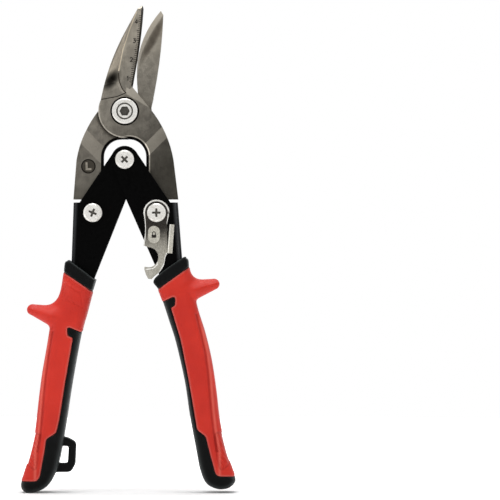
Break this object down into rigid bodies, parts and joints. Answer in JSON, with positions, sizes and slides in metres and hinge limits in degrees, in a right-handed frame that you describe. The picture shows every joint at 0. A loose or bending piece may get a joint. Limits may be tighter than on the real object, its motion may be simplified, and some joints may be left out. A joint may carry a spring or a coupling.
{
  "type": "aviation snips",
  "caption": "Compound-action aviation snips with crossed blades, linked arms, a return spring, a hook latch and two-part padded grips.",
  "frame": {"origin": "middle of the bounding box's bottom face, under the ends of the two grips", "axes": "+X across the tool towards the right grip, +Y through its thickness towards the nuts, +Z from the grips to the blade tips; the screw heads face -Y"},
  "size_m": [0.1114, 0.026, 0.2541],
  "materials": {
    "jaw_steel": "ground and warm grey",
    "zinc": "bright zinc plated",
    "plain_steel": "plain turned steel",
    "nickel": "polished nickel plated",
    "spring_steel": "drawn wire",
    "arm_paint": "satin black",
    "grip_core": "fine-textured black",
    "grip_cover": "soft matt red"
  },
  "bodies": {
    "right_handle": {"right_arm": "arm_paint", "right_grip_core": "grip_core", "right_grip_cover": "grip_cover", "centre_screw": "zinc", "centre_sleeve": "plain_steel", "centre_nut": "zinc", "return_spring": "spring_steel", "right_pin_screw": "zinc", "right_pin_spacers": "plain_steel", "right_pin_nut": "zinc", "latch_washer": "plain_steel"},
    "left_handle": {"left_arm": "arm_paint", "left_grip_core": "grip_core", "left_grip_cover": "grip_cover", "left_pin_screw": "zinc", "left_pin_collar": "plain_steel", "left_pin_nut": "zinc"},
    "front_jaw": {"front_jaw": "jaw_steel", "pivot_bolt": "zinc", "pivot_washer": "zinc", "pivot_nut": "zinc"},
    "back_jaw": {"back_jaw": "jaw_steel"},
    "latch": {"latch": "nickel"}
  },
  "joints": [
    {"name": "squeeze", "type": "hinge", "parent": "right_handle", "child": "left_handle", "pos_m": [-0.00173, -0.0004, 0.17374], "axis": [0, -1, 0], "range_deg": [0, 18.97], "stiffness_Nm_per_rad": 1.5, "springref_deg": -17.19, "deforming": ["return_spring"]},
    {"name": "front_jaw_pivot", "type": "hinge", "parent": "right_handle", "child": "front_jaw", "pos_m": [0.01487, -0.0004, 0.14599], "axis": [0, -1, 0], "range_deg": [0, 4.36]},
    {"name": "back_jaw_pivot", "type": "hinge", "parent": "front_jaw", "child": "back_jaw", "pos_m": [-0.00173, -0.0004, 0.19894], "axis": [0, -1, 0], "range_deg": [0, 10.26]},
    {"name": "latch_swing", "type": "hinge", "parent": "right_handle", "child": "latch", "pos_m": [0.01487, -0.0004, 0.14599], "axis": [0, 1, 0], "range_deg": [0, 70.2]}
  ],
  "couplings": [
    {"joint": "front_jaw_pivot", "follows": "squeeze", "ratio": 0.22964},
    {"joint": "back_jaw_pivot", "follows": "squeeze", "ratio": 0.54072}
  ]
}
